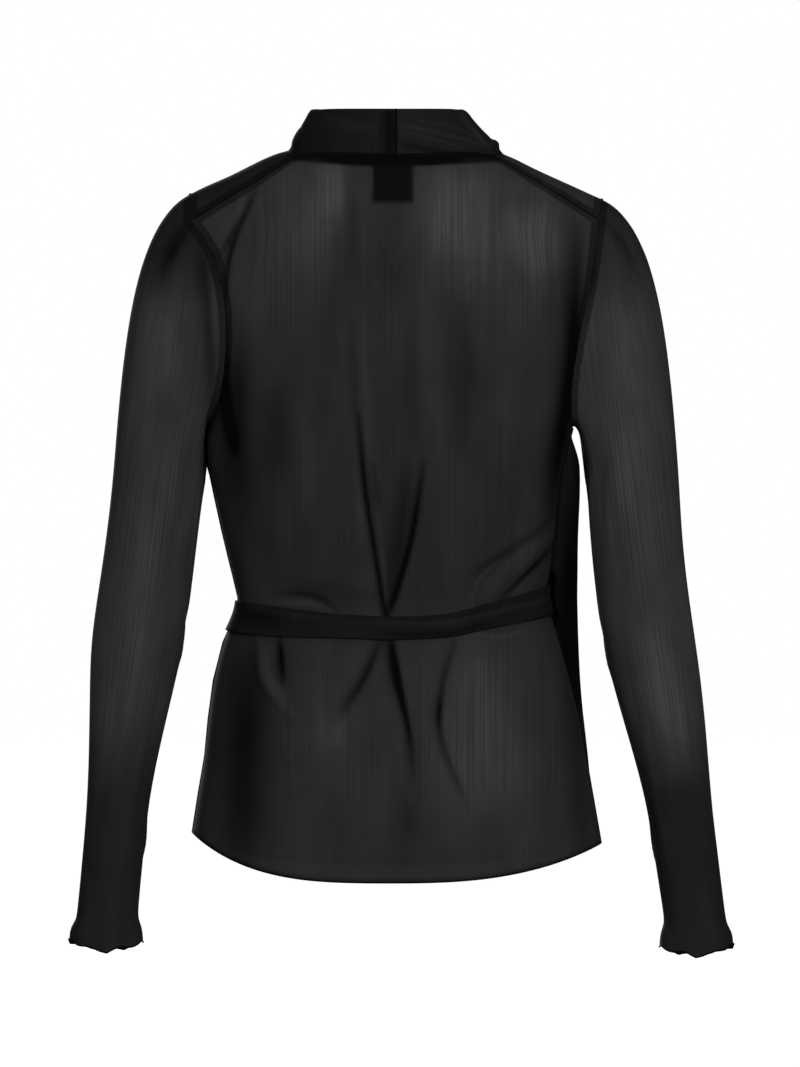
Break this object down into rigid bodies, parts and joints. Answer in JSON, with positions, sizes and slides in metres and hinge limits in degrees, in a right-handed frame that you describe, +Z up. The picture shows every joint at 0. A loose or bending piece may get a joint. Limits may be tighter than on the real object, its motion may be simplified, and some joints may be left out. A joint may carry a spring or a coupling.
{
  "type": "wrap top",
  "caption": "Long-sleeved wrap top in sheer mesh with a folded neck band and a self tie round the back, in its hollow worn shape",
  "frame": {"origin": "middle of the neck base, level with the neck seam at the shoulders, where the wearer's neck and shoulders hold the garment", "axes": "+Z up, the front faces -Y, the wearer's left is +X"},
  "size_m": [0.5664, 0.2289, 0.7266],
  "materials": {
    "sheer_mesh": "sheer stretch power mesh, soft sheen",
    "doubled_mesh": "the same mesh folded double",
    "woven_label": "blank woven label"
  },
  "bodies": {
    "root": {"back": "sheer_mesh", "front_over": "sheer_mesh", "front_under": "sheer_mesh", "sleeve_left": "sheer_mesh", "sleeve_right": "sheer_mesh", "collar_left": "doubled_mesh", "collar_right": "doubled_mesh", "tie_under": "doubled_mesh", "tie_over": "doubled_mesh", "knot": "doubled_mesh", "tail_under": "doubled_mesh", "tail_over": "doubled_mesh", "label": "woven_label"}
  },
  "joints": []
}
